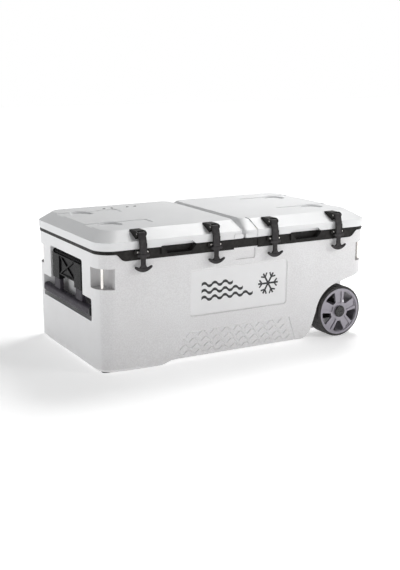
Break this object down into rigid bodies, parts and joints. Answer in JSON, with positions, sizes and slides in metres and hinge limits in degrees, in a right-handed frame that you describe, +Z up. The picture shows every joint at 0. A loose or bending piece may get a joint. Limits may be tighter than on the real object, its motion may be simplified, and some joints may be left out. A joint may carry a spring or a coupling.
{
  "type": "wheeled cooler",
  "caption": "Large white insulated chest cooler with split lids, rubber T-latches, tie-down rods, a swing-up tow handle and wheels at one end.",
  "frame": {"origin": "bottom centre of the closed cooler's bounding box, on the ground under its middle", "axes": "+X to the wheel end, -Y to the latch side, +Y to the hinge side, +Z up"},
  "size_m": [1, 0.576, 0.4332],
  "materials": {
    "shell_white": "moulded, pebbled",
    "liner_white": "smooth",
    "foam": "foamed, unseen",
    "trim_black": "satin",
    "steel": "bright",
    "decal_black": "printed",
    "rubber_black": "matte",
    "grip_grey": "satin",
    "grip_cap_black": "satin",
    "tyre_black": "matte",
    "rim_silver": "metallic satin",
    "cap_black": "satin",
    "bushing_white": "smooth",
    "drain_white": "smooth"
  },
  "bodies": {
    "cooler_body": {"outer_shell": "shell_white", "foam_floor": "foam", "foam_side_walls": "foam", "foam_end_walls": "foam", "foam_wheel_blocks": "foam", "foam_corners": "foam", "inner_liner": "liner_white", "centre_crossbar": "liner_white", "rim_trim": "trim_black", "keeper_pins": "steel", "tie_down_rods": "steel", "front_decal": "decal_black", "rubber_feet": "rubber_black", "handle_bracket": "trim_black", "bracket_screws": "steel", "handle_pivot_pin": "steel", "axle_brackets": "trim_black", "axle_bracket_screws": "steel", "wheel_axles": "steel", "axle_washers": "steel", "axle_push_nuts": "steel", "drain_fitting": "drain_white", "drain_nut": "drain_white", "hinge_screws": "steel", "hinge_brackets": "trim_black", "hinge_rods": "steel"},
    "left_lid": {"left_lid_shell": "shell_white", "left_lid_foam": "foam", "left_lid_liner": "liner_white", "left_lid_gasket": "rubber_black", "left_lid_hinge_leaves": "trim_black", "left_latch_mounts": "trim_black", "left_latch_pins": "steel", "lid_plugs": "rubber_black"},
    "right_lid": {"right_lid_shell": "shell_white", "right_lid_foam": "foam", "right_lid_liner": "liner_white", "right_lid_gasket": "rubber_black", "right_lid_hinge_leaves": "trim_black", "right_latch_mounts": "trim_black", "right_latch_pins": "steel"},
    "latch_1": {"latch_1": "rubber_black"},
    "latch_2": {"latch_2": "rubber_black"},
    "latch_3": {"latch_3": "rubber_black"},
    "latch_4": {"latch_4": "rubber_black"},
    "tow_handle": {"handle_yoke": "trim_black", "handle_arms": "grip_grey", "handle_grip": "grip_grey", "grip_end_caps": "grip_cap_black"},
    "front_wheel": {"front_tyre": "tyre_black", "front_rim": "rim_silver", "front_hub_cap": "cap_black", "front_wheel_bushing": "bushing_white"},
    "rear_wheel": {"rear_tyre": "tyre_black", "rear_rim": "rim_silver", "rear_hub_cap": "cap_black", "rear_wheel_bushing": "bushing_white"},
    "drain_gasket": {"drain_gasket": "rubber_black"},
    "drain_cap": {"drain_cap": "drain_white"}
  },
  "joints": [
    {"name": "left_lid_hinge", "type": "hinge", "parent": "cooler_body", "child": "left_lid", "pos_m": [-0.26, 0.28, 0.39], "axis": [-1, 0, 0], "range_deg": [0, 100]},
    {"name": "right_lid_hinge", "type": "hinge", "parent": "cooler_body", "child": "right_lid", "pos_m": [0.26, 0.28, 0.39], "axis": [-1, 0, 0], "range_deg": [0, 100]},
    {"name": "latch_1_swing", "type": "hinge", "parent": "left_lid", "child": "latch_1", "pos_m": [-0.362, -0.268, 0.425], "axis": [-1, 0, 0], "range_deg": [0, 160]},
    {"name": "latch_2_swing", "type": "hinge", "parent": "left_lid", "child": "latch_2", "pos_m": [-0.109, -0.268, 0.425], "axis": [-1, 0, 0], "range_deg": [0, 160]},
    {"name": "latch_3_swing", "type": "hinge", "parent": "right_lid", "child": "latch_3", "pos_m": [0.109, -0.268, 0.425], "axis": [-1, 0, 0], "range_deg": [0, 160]},
    {"name": "latch_4_swing", "type": "hinge", "parent": "right_lid", "child": "latch_4", "pos_m": [0.362, -0.268, 0.425], "axis": [-1, 0, 0], "range_deg": [0, 160]},
    {"name": "tow_handle_swing", "type": "hinge", "parent": "cooler_body", "child": "tow_handle", "pos_m": [-0.478, 0, 0.314], "axis": [0, 1, 0], "range_deg": [0, 90]},
    {"name": "front_wheel_spin", "type": "hinge", "parent": "cooler_body", "child": "front_wheel", "pos_m": [0.399, -0.218, 0.0875], "axis": [0, 1, 0], "continuous": true},
    {"name": "rear_wheel_spin", "type": "hinge", "parent": "cooler_body", "child": "rear_wheel", "pos_m": [0.399, 0.218, 0.0875], "axis": [0, 1, 0], "continuous": true},
    {"name": "drain_gasket_slide", "type": "slide", "parent": "cooler_body", "child": "drain_gasket", "axis": [1, 0, 0], "range_m": [0, 0.0125]},
    {"name": "drain_cap_turn", "type": "hinge", "parent": "drain_gasket", "child": "drain_cap", "pos_m": [0.48, 0, 0.088], "axis": [1, 0, 0], "range_deg": [0, 1080]}
  ],
  "couplings": [
    {"joint": "drain_gasket_slide", "follows": "drain_cap_turn", "m_per_rad": 0.00063662}
  ]
}
